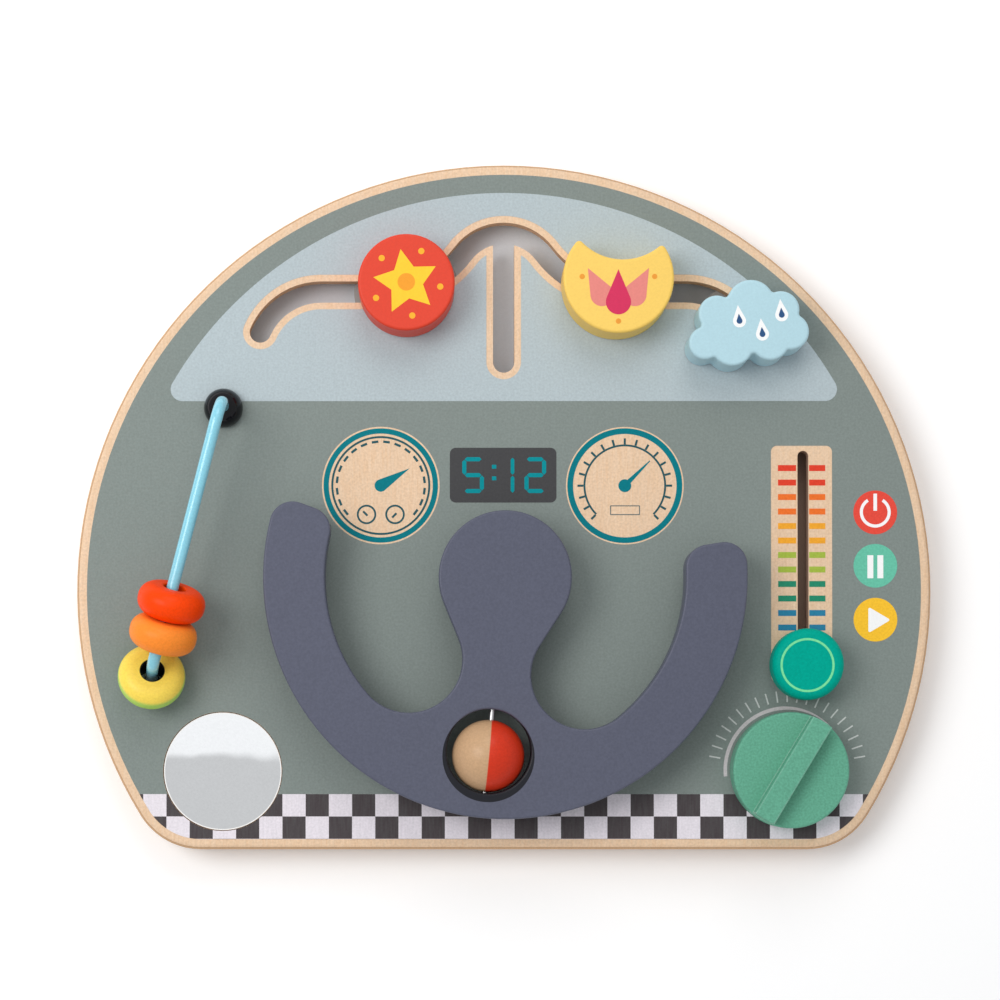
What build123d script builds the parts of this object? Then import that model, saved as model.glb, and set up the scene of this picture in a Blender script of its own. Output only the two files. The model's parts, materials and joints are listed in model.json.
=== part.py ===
"""A wooden toddler dashboard board: a half-round plywood board with a steering wheel, three sliders in an
umbrella-shaped slot, a fader, a dial, a mirror and a bead wire.

Millimetres. The board lies on its back, with +Z out of its face.
"""

from build123d import *
import math
import os

# ---- board ----
DOME_R = 180.0  # radius of the board's round outline
FLAT_DROP = 108.9  # from the dome's centre down to the straight bottom edge
CORNER_R = 30.0
BACK_T = 4.0
CORE_T = 8.0
FRONT_T = 6.0
EDGE_ROUND = 2.3

DOME_Y = (FLAT_DROP - DOME_R) / 2  # puts the board's middle on the origin
CORE_Z = BACK_T
FRONT_Z = CORE_Z + CORE_T  # back face of the front panel
FACE_Z = FRONT_Z + FRONT_T

# ---- running gaps ----
FACE_GAP = 0.5  # under a knob that slides or turns on the face
RETAINER_GAP = 0.3  # between a retainer and the back of the front panel
SHAFT_GAP = 0.08  # radial, round a turning shaft
POCKET_GAP = 1.2  # round a retainer in its pocket
SAME_HEIGHT = 1e-3

# ---- umbrella slot; its places are worked out under the sliders ----
SLOT_W = 9.0
ARCH_R = 21.5
ARCH_DROP = 50.6  # from the board's top down to the arch's centre
RUN_DROP = 53.9  # from the board's top down to the straight runs
LEG_L = 32.9
KNEE_R = 40.0
END_R = 28.0
END_ANGLE = 66.6  # how far round the end bend the slot goes
CHANNEL_WALL = 3.85  # wood between the retainers' channel and the board's edge

# ---- sliders ----
KNOB_TOP = 17.7  # height of the sliders' faces over the board
POST_R = 4.0
POST_GRIP = 8.0
RETAINER_R = 22.3
RETAINER_T = 5.0
SLIDER_SCREW_R = 1.75
SLIDER_SCREW_GRIP = 8.0
SLIDER_HEAD_R = 4.0
SLIDER_HEAD_T = 2.2
HEAD_GAP = 0.1
HEAD_CLEARANCE = 0.5  # round the head in its counterbore
POST_SEAT_GAP = 0.1  # between a post's foot and its retainer
RETAINER_EDGE = 0.6
KNOB_EDGE = 1.2

ROUND_KNOB_R = 20.1
ROUND_KNEE_ANGLE = 12.2  # where the round slider stands on its knee
CRESCENT_R = 23.0
CRESCENT_RISE = 2.7
CRESCENT_KNEE_ANGLE = 3.4
CRESCENT_TILT = -3.4
BITE_R = 23.6
BITE_DEPTH = 15.3
HORN_ROUND = 1.8
CLOUD_TILT = 20.0
CLOUD_NOTCH_R = 1.6
CLOUD_W = 50.0
CLOUD_PUFFS = (  # centre and radius of each puff, as shares of the cloud's width
    ((-0.246, 0.188), 0.152), ((0.048, 0.170), 0.198), ((0.264, 0.038), 0.154), ((0.280, -0.162), 0.150),
    ((0.092, -0.178), 0.158), ((-0.212, -0.098), 0.176), ((-0.420, -0.008), 0.136))

# Places in the umbrella slot, measured from the dome's centre.
CHANNEL_HALF = RETAINER_R + POCKET_GAP
ARCH_Y = DOME_R - ARCH_DROP
LEG_Y = ARCH_Y - LEG_L
RUN_Y = DOME_R - RUN_DROP
KNEE_Y = RUN_Y + KNEE_R
KNEE_X = math.sqrt((ARCH_R + KNEE_R) ** 2 - (KNEE_Y - ARCH_Y) ** 2)
KNEE_ANGLE = math.degrees(math.atan2(KNEE_X, KNEE_Y - ARCH_Y))
END_Y = RUN_Y - END_R
END_X = math.sqrt((DOME_R - CHANNEL_WALL - END_R - CHANNEL_HALF) ** 2 - END_Y ** 2)

# ---- steering wheel ----
WHEEL_Y = 4.5
WHEEL_TILT = -5.4
WHEEL_LIFT = 9.5
WHEEL_T = 12.0
WHEEL_R = 100.0
RIM_W = 25.5
RIM_END_ANGLE = 14.5
RIM_END_ROUND = 9.5
HUB_R = 27.5
HUB_SHOULDER = 2.6  # between the hub and the round of each hand gap
HAND_GAP_ANGLE = -45.7
WHEEL_EDGE = 0.9
SPACER_R = 24.0
WHEEL_AXLE_R = 7.0
WHEEL_AXLE_GRIP = 7.0
WHEEL_RETAINER_R = 19.0
WHEEL_RETAINER_T = 3.0
WHEEL_SCREW_R = 2.5
WHEEL_SCREW_GRIP = 14.0
WHEEL_HEAD_R = 5.0
WHEEL_HEAD_T = 2.4
RIM_INNER_R = WHEEL_R - RIM_W
HAND_GAP_R = (RIM_INNER_R - HUB_R - HUB_SHOULDER) / 2

# ---- spinning ball in the wheel ----
BALL_R = 15.0
BALL_GAP = 2.4  # round the ball in its hole
BALL_RIM_W = 10.3  # wood between the ball's hole and the wheel's edge
BALL_SLIP = 2.0  # the ball rests this far out along its pin
PIN_R = 1.25
PIN_SEAT = 7.0
BALL_HOLE_R = BALL_R + BALL_GAP
BALL_HOLE_OUT = WHEEL_R - BALL_RIM_W - BALL_HOLE_R

# ---- fader ----
FADER_LOW_Y = -31.3  # the knob at rest, at the low end of its travel
FADER_CLEARANCE = 11.1  # between the wheel's rim and the knob
FADER_SLOT_TOP = 59.0
FADER_SLOT_W = 4.6
FADER_KNOB_R = 14.9
FADER_KNOB_TOP = 16.0
FADER_KNOB_ROUND = 3.5
FADER_KNOB_FOOT_ROUND = 4.5
RUNNER_W = 18.0
RUNNER_L = 24.0
RUNNER_T = 5.0
RUNNER_SIDE_GAP = 0.4
TONGUE_SIDE_GAP = 0.25
TONGUE_L = 10.0
TONGUE_END_GAP = 0.3
TONGUE_DROP = 0.6
FADER_TRAVEL = FADER_SLOT_TOP - TONGUE_END_GAP - TONGUE_L / 2 - FADER_LOW_Y
FADER_SCREW_R = 1.5
FADER_SCREW_GRIP = 8.0
FADER_HEAD_R = 3.2
FADER_HEAD_T = 1.8
FADER_X = WHEEL_R + FADER_CLEARANCE + FADER_KNOB_R

# ---- dial ----
DIAL_INSET = 60.8  # from the board's side
DIAL_RISE = 33.5  # from the bottom edge
DIAL_X = DOME_R - DIAL_INSET
DIAL_Y = DIAL_RISE - FLAT_DROP
DIAL_R = 24.2
DIAL_DISC_TOP = 12.0
DIAL_BAR_TOP = 19.0
DIAL_BAR_W = 9.2
DIAL_BAR_ANGLE = 59.0
DIAL_EDGE = 1.0
DIAL_AXLE_R = 5.0
DIAL_AXLE_GRIP = 9.0
WASHER_R = 12.0
WASHER_T = 1.6
DIAL_SCREW_R = 1.75
DIAL_SCREW_GRIP = 12.0
DIAL_HEAD_R = 4.0
DIAL_HEAD_T = 2.2

# ---- mirror ----
MIRROR_INSET = 61.7  # from the board's side
MIRROR_RISE = 32.9  # from the bottom edge
MIRROR_X = MIRROR_INSET - DOME_R
MIRROR_Y = MIRROR_RISE - FLAT_DROP
MIRROR_R = 24.8
MIRROR_T = 2.0
MIRROR_DROP = 0.4  # below the board's face
MIRROR_EDGE = 0.2
MIRROR_GAP = 0.3
PAD_R = 22.0
PAD_T = 0.4

# ---- bead wire: a side view along its run, heights from the face ----
WIRE_R = 2.5
WIRE_INSET = 62.0  # from the board's side to the top end
WIRE_DROP = 103.1  # from the board's top to the top end
WIRE_TOP_X = WIRE_INSET - DOME_R
WIRE_TOP_Y = DOME_R - WIRE_DROP
WIRE_HEADING = 255.3  # plan direction from the top end to the foot, degrees
WIRE_TILT = 3.0  # how far the wire's own plane leans to the board's right
WIRE_RUN = 119.0
WIRE_DEPTH = 11.0  # how far each end goes into the wood
LEG_LEAN = 17.0
FOOT_BEND_H = 22.5
RUN_SLOPE = 4.0
FOOT_BEND_R = 7.0
TOP_BEND_R = 9.0
CAP_R = 8.2
CAP_RISE = 1.5
FOOT_CAP_R = 3.6

# ---- beads ----
BEAD_R = 14.0
BEAD_T = 13.0
BEAD_HOLE_R = 4.75
BEAD_OUTER_ROUND = 6.0
BEAD_INNER_ROUND = 0.8
BEAD_TILT = 13.0  # how far a loose bead leans on the wire
BEAD_SIDE = 1.0  # how far a loose bead hangs to one side of the wire
BEAD_GAP = 0.3  # between neighbouring beads
ORANGE_AT = 20.2  # along the wire's side view
YELLOW_H = 9.85
YELLOW_LEAN = 24.0  # the lowest bead rests against the wire's foot
YELLOW_SLIP = 1.05  # how far its centre stands outwards of the wire

# ---- screw heads, as shares of the head's own size ----
HEAD_EDGE_SHARE = 0.45
CROSS_LENGTH_SHARE = 1.1
CROSS_WIDTH_SHARE = 0.26
CROSS_DEPTH_SHARE = 0.5

# ---- back screws ----
BACK_SCREW_R = 1.75
BACK_SCREW_LENGTH = 14.0
BACK_HEAD_R = 3.6
BACK_HEAD_T = 1.9
SCREW_INSET = 12.0  # from the board's edge
ROUND_SCREW_ANGLES = (68.8, 17.6, -6.9)  # round the dome, up from its widest line
FOOT_SCREW_X = 100.0


def on_board(x, y, z=0.0):
    """A place on the board, measured from the dome's centre."""
    return Pos(x, DOME_Y + y, z)


def disc(radius, low, high):
    """An upright round solid between two heights."""
    return Pos(0, 0, low) * extrude(Circle(radius), high - low)


def eased(solid, height, radius):
    """The solid with its outline at one height rounded."""
    rims = [e for e in solid.edges() if abs(e.bounding_box().min.Z - height) < SAME_HEIGHT
            and abs(e.bounding_box().max.Z - height) < SAME_HEIGHT]
    return fillet(rims, radius)


def cross_recess(head_r, head_t):
    """The cut for a driver, from the origin upwards."""
    slot = Box(head_r * CROSS_LENGTH_SHARE, head_r * CROSS_WIDTH_SHARE, head_t * CROSS_DEPTH_SHARE,
               align=(Align.CENTER, Align.CENTER, Align.MIN))
    return slot + Rot(0, 0, 90) * slot


def pan_screw(shank_r, head_r, head_t, head_low, tip):
    """A screw pointing up, with a domed head and a cross recess underneath."""
    head = eased(disc(head_r, head_low, head_low + head_t), head_low, head_t * HEAD_EDGE_SHARE)
    return head + disc(shank_r, head_low + head_t, tip) - Pos(0, 0, head_low) * cross_recess(head_r, head_t)


# ---- board ----


def board_outline():
    dome = Circle(DOME_R) & Pos(0, -FLAT_DROP) * Rectangle(
        4 * DOME_R, 4 * DOME_R, align=(Align.CENTER, Align.MIN))
    corners = [v for v in dome.vertices() if abs(v.Y + FLAT_DROP) < SAME_HEIGHT]
    return fillet(corners, CORNER_R)


def umbrella(width):
    """The sliders' path as a groove of one width: leg, arch, knees, straight runs and end bends."""
    arch = CenterArc((0, ARCH_Y), ARCH_R, 90 - KNEE_ANGLE, 2 * KNEE_ANGLE)
    shape = SlotArc(arch, width) if width / 2 < ARCH_R else Pos(0, ARCH_Y) * Circle(ARCH_R + width / 2)
    knee = CenterArc((KNEE_X, KNEE_Y), KNEE_R, -90, -KNEE_ANGLE)
    run = Line((KNEE_X, RUN_Y), (END_X, RUN_Y))
    bend = CenterArc((END_X, END_Y), END_R, 90, -END_ANGLE)
    for path in (knee, run, bend):
        groove = SlotArc(path, width)
        shape += groove
        shape += mirror(groove, Plane.YZ)
    leg = Line((0, LEG_Y), (0, ARCH_Y + ARCH_R))
    return shape + SlotArc(leg, width)


def fader_slot():
    reach = TONGUE_L / 2 + TONGUE_END_GAP - FADER_SLOT_W / 2
    low, high = FADER_LOW_Y - reach, FADER_LOW_Y + FADER_TRAVEL + reach
    return SlotArc(Line((FADER_X, low), (FADER_X, high)), FADER_SLOT_W)


def fader_pocket():
    """The runner's channel in the middle layer."""
    length = FADER_TRAVEL + RUNNER_L + 2 * POCKET_GAP
    return Pos(FADER_X, FADER_LOW_Y + FADER_TRAVEL / 2) * Rectangle(RUNNER_W + 2 * RUNNER_SIDE_GAP, length)


def screw_spots():
    """Along the straight edge, and in pairs round the dome."""
    foot_y = SCREW_INSET - FLAT_DROP
    spots = [(x, foot_y) for x in (-FOOT_SCREW_X, 0.0, FOOT_SCREW_X)]
    reach = DOME_R - SCREW_INSET
    for angle in ROUND_SCREW_ANGLES:
        x, y = reach * math.cos(math.radians(angle)), reach * math.sin(math.radians(angle))
        spots += [(x, y), (-x, y)]
    return spots


def countersunk():
    head = Pos(0, 0, BACK_HEAD_T / 2) * Cone(BACK_HEAD_R, BACK_SCREW_R, BACK_HEAD_T)
    return head + disc(BACK_SCREW_R, BACK_HEAD_T, BACK_SCREW_LENGTH)


def back_screws():
    """Countersunk screws through the back and the core into the front panel."""
    screw = countersunk() - cross_recess(BACK_HEAD_R, BACK_HEAD_T)
    return [on_board(x, y) * screw for x, y in screw_spots()]


def screw_holes():
    return [on_board(x, y) * countersunk() for x, y in screw_spots()]


def front_panel():
    plan = board_outline() - umbrella(SLOT_W) - fader_slot()
    plan -= Pos(0, WHEEL_Y) * Circle(WHEEL_AXLE_R + SHAFT_GAP)
    plan -= Pos(DIAL_X, DIAL_Y) * Circle(DIAL_AXLE_R + SHAFT_GAP)
    blank = extrude(board_outline(), FRONT_T)
    panel = extrude(plan, FRONT_T) & eased(blank, FRONT_T, EDGE_ROUND)
    panel = on_board(0, 0, FRONT_Z) * panel
    recess = MIRROR_DROP + MIRROR_T + PAD_T
    panel -= on_board(MIRROR_X, MIRROR_Y) * disc(MIRROR_R + MIRROR_GAP, FACE_Z - recess, FACE_Z + 1)
    return panel - wire_solid() - screw_holes()


def core_frame():
    """The middle layer, cut out where the retainers run."""
    plan = board_outline() - umbrella(2 * CHANNEL_HALF)
    plan -= Pos(0, WHEEL_Y) * Circle(WHEEL_RETAINER_R + POCKET_GAP)
    plan -= Pos(DIAL_X, DIAL_Y) * Circle(WASHER_R + POCKET_GAP)
    plan -= fader_pocket()
    return on_board(0, 0, CORE_Z) * extrude(plan, CORE_T) - wire_solid() - screw_holes()


def back_panel():
    return on_board(0, 0) * eased(extrude(board_outline(), BACK_T), 0, EDGE_ROUND) - screw_holes()


# ---- sliders: knob, post, retainer behind the panel, screw ----


def retainer_top():
    return FRONT_Z - RETAINER_GAP


def post_low():
    return retainer_top() + POST_SEAT_GAP


def knob_blank(outline):
    """A thick wooden knob over the face with eased edges and a blind socket for its post."""
    low, high = FACE_Z + FACE_GAP, FACE_Z + KNOB_TOP
    knob = Pos(0, 0, low) * extrude(outline, high - low)
    knob = eased(knob, high, KNOB_EDGE)
    return knob - disc(POST_R, low, low + POST_GRIP)


def slider_post():
    high = FACE_Z + FACE_GAP + POST_GRIP
    return disc(POST_R, post_low(), high) - disc(SLIDER_SCREW_R, post_low(), post_low() + SLIDER_SCREW_GRIP)


def slider_retainer():
    low = retainer_top() - RETAINER_T
    plate = disc(RETAINER_R, low, retainer_top())
    plate = eased(plate, low, RETAINER_EDGE)
    seat = SLIDER_HEAD_T + 2 * HEAD_GAP
    plate -= disc(SLIDER_HEAD_R + HEAD_CLEARANCE, low, low + seat)
    return plate - disc(SLIDER_SCREW_R + SHAFT_GAP, low, retainer_top())


def slider_screw():
    low = retainer_top() - RETAINER_T + HEAD_GAP
    return pan_screw(SLIDER_SCREW_R, SLIDER_HEAD_R, SLIDER_HEAD_T, low, post_low() + SLIDER_SCREW_GRIP)


def knee_place(side, angle):
    return on_board(side * (KNEE_X - KNEE_R * math.sin(math.radians(angle))),
                    KNEE_Y - KNEE_R * math.cos(math.radians(angle)))


def end_place():
    angle = math.radians(END_ANGLE)
    return on_board(END_X + END_R * math.sin(angle), END_Y + END_R * math.cos(angle))


def crescent_outline():
    bite_y = CRESCENT_R + BITE_R - BITE_DEPTH
    moon = Circle(CRESCENT_R) - Pos(0, bite_y) * Circle(BITE_R)
    moon = fillet(moon.vertices(), HORN_ROUND)
    return Rot(0, 0, CRESCENT_TILT) * Pos(0, CRESCENT_RISE) * moon


def cloud_outline():
    """Puffs round a filled middle, with softened notches between them."""
    puffs = [((x * CLOUD_W, y * CLOUD_W), radius * CLOUD_W) for (x, y), radius in CLOUD_PUFFS]
    cloud = make_face(Polyline(*[centre for centre, _ in puffs], close=True))
    for centre, radius in puffs:
        cloud += Pos(*centre) * Circle(radius)
    cloud = fillet(cloud.vertices(), CLOUD_NOTCH_R)
    return Rot(0, 0, CLOUD_TILT) * cloud


def sliders():
    places = {
        "round_slider": (knee_place(-1, ROUND_KNEE_ANGLE), Circle(ROUND_KNOB_R)),
        "crescent_slider": (knee_place(1, CRESCENT_KNEE_ANGLE), crescent_outline()),
        "cloud_slider": (end_place(), cloud_outline()),
    }
    parts = {}
    for name, (place, outline) in places.items():
        parts[name + "_knob"] = place * knob_blank(outline)
        parts[name + "_post"] = place * slider_post()
        parts[name + "_retainer"] = place * slider_retainer()
        parts[name + "_screw"] = place * slider_screw()
    return parts


# ---- steering wheel ----


def wheel_half():
    """Half of the wheel's outline: rim, rounded rim end, hand gap, neck and hub, with tangent joins."""
    reach = RIM_INNER_R - HAND_GAP_R
    gap = Vector(reach, 0).rotate(Axis.Z, HAND_GAP_ANGLE)
    lean = math.degrees(math.acos((HUB_R + HAND_GAP_R) / reach))
    neck = HAND_GAP_ANGLE + lean
    hub_touch = Vector(HUB_R, 0).rotate(Axis.Z, neck)
    gap_touch = gap - Vector(HAND_GAP_R, 0).rotate(Axis.Z, neck)
    rim = CenterArc((0, 0), WHEEL_R, -90, 90 + RIM_END_ANGLE)
    inner = CenterArc((0, 0), RIM_INNER_R, RIM_END_ANGLE, HAND_GAP_ANGLE - RIM_END_ANGLE)
    end = Line(rim @ 1, inner @ 0)
    hand_gap = CenterArc(gap, HAND_GAP_R, HAND_GAP_ANGLE, lean - 180)
    side = Line(gap_touch, hub_touch)
    hub = CenterArc((0, 0), HUB_R, neck, 90 - neck)
    middle = Line(hub @ 1, rim @ 0)
    return make_face(Wire([rim, end, inner, hand_gap, side, hub, middle]))


def wheel_place(z=0.0):
    return on_board(0, WHEEL_Y, z) * Rot(0, 0, WHEEL_TILT)


def wheel_low():
    return FACE_Z + WHEEL_LIFT


def ball_z():
    return wheel_low() + WHEEL_T / 2


def steering_wheel():
    half = wheel_half()
    plan = half + mirror(half, Plane.YZ)
    tips = [v for v in plan.vertices() if v.Y > 0 and abs(v.X) > HUB_R]
    plan = fillet(tips, RIM_END_ROUND)
    plan -= Pos(0, -BALL_HOLE_OUT) * Circle(BALL_HOLE_R)
    wheel = extrude(plan, WHEEL_T)
    wheel = eased(wheel, WHEEL_T, WHEEL_EDGE)
    wheel = eased(wheel, 0, WHEEL_EDGE)
    wheel -= disc(WHEEL_AXLE_R, 0, WHEEL_AXLE_GRIP)
    return wheel_place(wheel_low()) * wheel - spinner_pin()


def wheel_spacer():
    ring = disc(SPACER_R, FACE_Z + RETAINER_GAP, wheel_low())
    return wheel_place() * (ring - disc(WHEEL_AXLE_R, FACE_Z, wheel_low()))


def wheel_axle_low():
    return FRONT_Z - RETAINER_GAP


def wheel_axle():
    low = wheel_axle_low()
    axle = disc(WHEEL_AXLE_R, low, wheel_low() + WHEEL_AXLE_GRIP)
    return wheel_place() * (axle - disc(WHEEL_SCREW_R, low, low + WHEEL_SCREW_GRIP))


def wheel_retainer():
    high = wheel_axle_low()
    plate = disc(WHEEL_RETAINER_R, high - WHEEL_RETAINER_T, high)
    return wheel_place() * (plate - disc(WHEEL_SCREW_R, high - WHEEL_RETAINER_T, high))


def wheel_screw():
    seat = wheel_axle_low() - WHEEL_RETAINER_T
    tip = wheel_axle_low() + WHEEL_SCREW_GRIP
    return wheel_place() * pan_screw(WHEEL_SCREW_R, WHEEL_HEAD_R, WHEEL_HEAD_T, seat - WHEEL_HEAD_T, tip)


def spinner_pin():
    half = BALL_HOLE_R + PIN_SEAT
    pin = Rot(90, 0, 0) * disc(PIN_R, -half, half)
    return wheel_place(ball_z()) * Pos(0, -BALL_HOLE_OUT) * pin


def spinner_ball():
    bore = Rot(90, 0, 0) * disc(PIN_R + SHAFT_GAP, -BALL_R, BALL_R)
    return wheel_place(ball_z()) * Pos(0, -BALL_HOLE_OUT - BALL_SLIP) * (Sphere(BALL_R) - bore)


# ---- fader ----


def fader_place():
    return on_board(FADER_X, FADER_LOW_Y)


def fader_knob():
    low, high = FACE_Z + FACE_GAP, FACE_Z + FADER_KNOB_TOP
    knob = eased(disc(FADER_KNOB_R, low, high), high, FADER_KNOB_ROUND)
    knob = eased(knob, low, FADER_KNOB_FOOT_ROUND)
    return fader_place() * (knob - disc(FADER_SCREW_R, low, low + FADER_SCREW_GRIP))


def fader_runner():
    """A block behind the panel with a tongue that keeps it straight in the slot."""
    high = FRONT_Z - RETAINER_GAP
    block = Pos(0, 0, high - RUNNER_T) * extrude(Rectangle(RUNNER_W, RUNNER_L), RUNNER_T)
    tongue_w = FADER_SLOT_W - 2 * TONGUE_SIDE_GAP
    tongue_high = FACE_Z - TONGUE_DROP
    reach = (TONGUE_L - tongue_w) / 2
    tongue = extrude(SlotArc(Line((0, -reach), (0, reach)), tongue_w), tongue_high - high)
    block += Pos(0, 0, high) * tongue
    block -= disc(FADER_SCREW_R, high - RUNNER_T, tongue_high)
    return fader_place() * (block - disc(FADER_HEAD_R + HEAD_GAP, high - RUNNER_T, fader_head_top()))


def fader_head_top():
    return FRONT_Z - RETAINER_GAP - RUNNER_T + FADER_HEAD_T


def fader_screw():
    tip = FACE_Z + FACE_GAP + FADER_SCREW_GRIP
    low = fader_head_top() - FADER_HEAD_T
    return fader_place() * pan_screw(FADER_SCREW_R, FADER_HEAD_R, FADER_HEAD_T, low, tip)


# ---- dial ----


def dial_place():
    return on_board(DIAL_X, DIAL_Y)


def dial_knob():
    """A round knob with a grip bar right across it."""
    low = FACE_Z + FACE_GAP
    base = disc(DIAL_R, low, FACE_Z + DIAL_DISC_TOP)
    base = eased(base, FACE_Z + DIAL_DISC_TOP, DIAL_EDGE)
    bar_plan = Circle(DIAL_R - DIAL_EDGE / 2) & Rectangle(2 * DIAL_R, DIAL_BAR_W)
    bar_low = FACE_Z + DIAL_DISC_TOP - DIAL_EDGE
    bar = Pos(0, 0, bar_low) * extrude(bar_plan, FACE_Z + DIAL_BAR_TOP - bar_low)
    bar = eased(bar, FACE_Z + DIAL_BAR_TOP, DIAL_EDGE / 2)
    knob = base + Rot(0, 0, DIAL_BAR_ANGLE) * bar
    return dial_place() * (knob - disc(DIAL_AXLE_R, low, low + DIAL_AXLE_GRIP))


def dial_axle_low():
    return FRONT_Z - RETAINER_GAP


def dial_axle():
    low = dial_axle_low()
    axle = disc(DIAL_AXLE_R, low, FACE_Z + FACE_GAP + DIAL_AXLE_GRIP)
    return dial_place() * (axle - disc(DIAL_SCREW_R, low, low + DIAL_SCREW_GRIP))


def dial_washer():
    high = dial_axle_low()
    ring = disc(WASHER_R, high - WASHER_T, high)
    return dial_place() * (ring - disc(DIAL_SCREW_R, high - WASHER_T, high))


def dial_screw():
    seat = dial_axle_low() - WASHER_T
    tip = dial_axle_low() + DIAL_SCREW_GRIP
    return dial_place() * pan_screw(DIAL_SCREW_R, DIAL_HEAD_R, DIAL_HEAD_T, seat - DIAL_HEAD_T, tip)


# ---- mirror ----


def mirror_disc():
    top = FACE_Z - MIRROR_DROP
    plate = eased(disc(MIRROR_R, top - MIRROR_T, top), top, MIRROR_EDGE)
    return on_board(MIRROR_X, MIRROR_Y) * plate


def mirror_pad():
    high = FACE_Z - MIRROR_DROP - MIRROR_T
    return on_board(MIRROR_X, MIRROR_Y) * disc(PAD_R, high - PAD_T, high)


# ---- bead wire ----


def wire_plane():
    """Side view of the wire: x runs from the foot towards the top end, y is the height over the face."""
    heading = math.radians(WIRE_HEADING)
    foot_x = WIRE_TOP_X + WIRE_RUN * math.cos(heading)
    foot_y = WIRE_TOP_Y + WIRE_RUN * math.sin(heading)
    along = (-math.cos(heading), -math.sin(heading), 0)
    tilt = math.radians(WIRE_TILT)
    normal = (along[1] * math.cos(tilt), -along[0] * math.cos(tilt), -math.sin(tilt))
    return Plane(origin=(foot_x, DOME_Y + foot_y, FACE_Z), x_dir=along, z_dir=normal)


def leg_shift(height):
    return height * math.tan(math.radians(LEG_LEAN))


def run_height(at):
    return FOOT_BEND_H + (at - leg_shift(FOOT_BEND_H)) * math.tan(math.radians(RUN_SLOPE))


def wire_solid():
    corners = [(leg_shift(-WIRE_DEPTH), -WIRE_DEPTH), (leg_shift(FOOT_BEND_H), FOOT_BEND_H),
               (WIRE_RUN, run_height(WIRE_RUN)), (WIRE_RUN, -WIRE_DEPTH)]
    path = FilletPolyline(*corners, radius=[FOOT_BEND_R, TOP_BEND_R])
    path = wire_plane() * path
    return sweep(Plane(origin=path @ 0, z_dir=path % 0) * Circle(WIRE_R), path=path)


def top_cap():
    """A black dome round the wire's top end."""
    dome = Pos(0, 0, FACE_Z + CAP_RISE) * Sphere(CAP_R)
    dome &= Pos(0, 0, FACE_Z) * Cylinder(2 * CAP_R, 2 * CAP_R, align=(Align.CENTER, Align.CENTER, Align.MIN))
    return on_board(WIRE_TOP_X, WIRE_TOP_Y) * dome - wire_solid()


def foot_cap():
    """A small dome round the wire's foot, inside the lowest bead's hole."""
    dome = Sphere(FOOT_CAP_R) & Cylinder(2 * FOOT_CAP_R, 2 * FOOT_CAP_R,
                                         align=(Align.CENTER, Align.CENTER, Align.MIN))
    return Pos(*wire_plane().origin) * dome - wire_solid()


def bead():
    """A ring bead with round rims, on the Z axis."""
    half = Pos((BEAD_R + BEAD_HOLE_R) / 2, 0) * Rectangle(BEAD_R - BEAD_HOLE_R, BEAD_T)
    half = fillet(half.vertices().group_by(Axis.X)[-1], BEAD_OUTER_ROUND)
    half = fillet(half.vertices().group_by(Axis.X)[0], BEAD_INNER_ROUND)
    return revolve(Plane.XZ * half, Axis.Z)


def bead_on_wire(at, height, lean, side=0.0):
    """A bead in the wire's side view, its axis leaning from the view's upright."""
    spot = wire_plane()
    centre = spot.from_local_coords(Vector(at, height, side))
    turn = math.radians(lean)
    tip = spot.from_local_coords(Vector(at + math.sin(turn), height + math.cos(turn), side))
    return Plane(origin=centre, z_dir=tip - centre) * bead()


def beads():
    run_lean = 90 - RUN_SLOPE - BEAD_TILT
    pitch = (BEAD_T + BEAD_GAP) / math.cos(math.radians(BEAD_TILT))
    red_at = ORANGE_AT + pitch * math.cos(math.radians(RUN_SLOPE))
    return {
        "red_bead": bead_on_wire(red_at, run_height(red_at), run_lean, BEAD_SIDE),
        "orange_bead": bead_on_wire(ORANGE_AT, run_height(ORANGE_AT), run_lean, BEAD_SIDE),
        "yellow_bead": bead_on_wire(leg_shift(YELLOW_H) - YELLOW_SLIP, YELLOW_H, YELLOW_LEAN),
    }


def all_parts():
    parts = {
        "front_panel": front_panel(), "core_frame": core_frame(), "back_panel": back_panel(),
        "back_screws": Compound(children=back_screws()),
        "mirror_disc": mirror_disc(), "mirror_pad": mirror_pad(),
        "bead_wire": wire_solid(), "wire_top_cap": top_cap(), "wire_foot_cap": foot_cap(),
        "steering_wheel": steering_wheel(), "wheel_spacer": wheel_spacer(), "wheel_axle": wheel_axle(),
        "wheel_retainer": wheel_retainer(), "wheel_screw": wheel_screw(),
        "spinner_pin": spinner_pin(), "spinner_ball": spinner_ball(),
        "fader_knob": fader_knob(), "fader_runner": fader_runner(), "fader_screw": fader_screw(),
        "dial_knob": dial_knob(), "dial_axle": dial_axle(), "dial_washer": dial_washer(),
        "dial_screw": dial_screw(),
    }
    parts.update(beads())
    parts.update(sliders())
    return parts


if __name__ == "__main__":
    os.makedirs("parts", exist_ok=True)
    for node, shape in all_parts().items():
        export_step(shape, f"parts/{node}.step")
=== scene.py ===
"""Looks for the wooden busy board: prints, paint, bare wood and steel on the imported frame, and its stage.

Sizes are in metres. Flat prints are drawn from the centre of the board's round top, and laid on the face.
"""

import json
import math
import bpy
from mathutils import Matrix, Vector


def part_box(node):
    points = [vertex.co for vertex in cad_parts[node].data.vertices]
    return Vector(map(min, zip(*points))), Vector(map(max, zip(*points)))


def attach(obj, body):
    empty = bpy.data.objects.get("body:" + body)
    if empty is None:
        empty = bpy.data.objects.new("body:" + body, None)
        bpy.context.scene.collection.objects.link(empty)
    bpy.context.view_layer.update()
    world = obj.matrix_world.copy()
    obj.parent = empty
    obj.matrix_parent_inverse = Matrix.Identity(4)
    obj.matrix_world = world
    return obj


bl_info = {
    "name": "Wooden busy board",
    "version": (1, 0, 0),
    "blender": (4, 5, 0),
    "location": "View3D > Sidebar > Busy board",
    "description": "Prints, paint and wood for a toddler's wooden dashboard board",
    "category": "Object",
}

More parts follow.
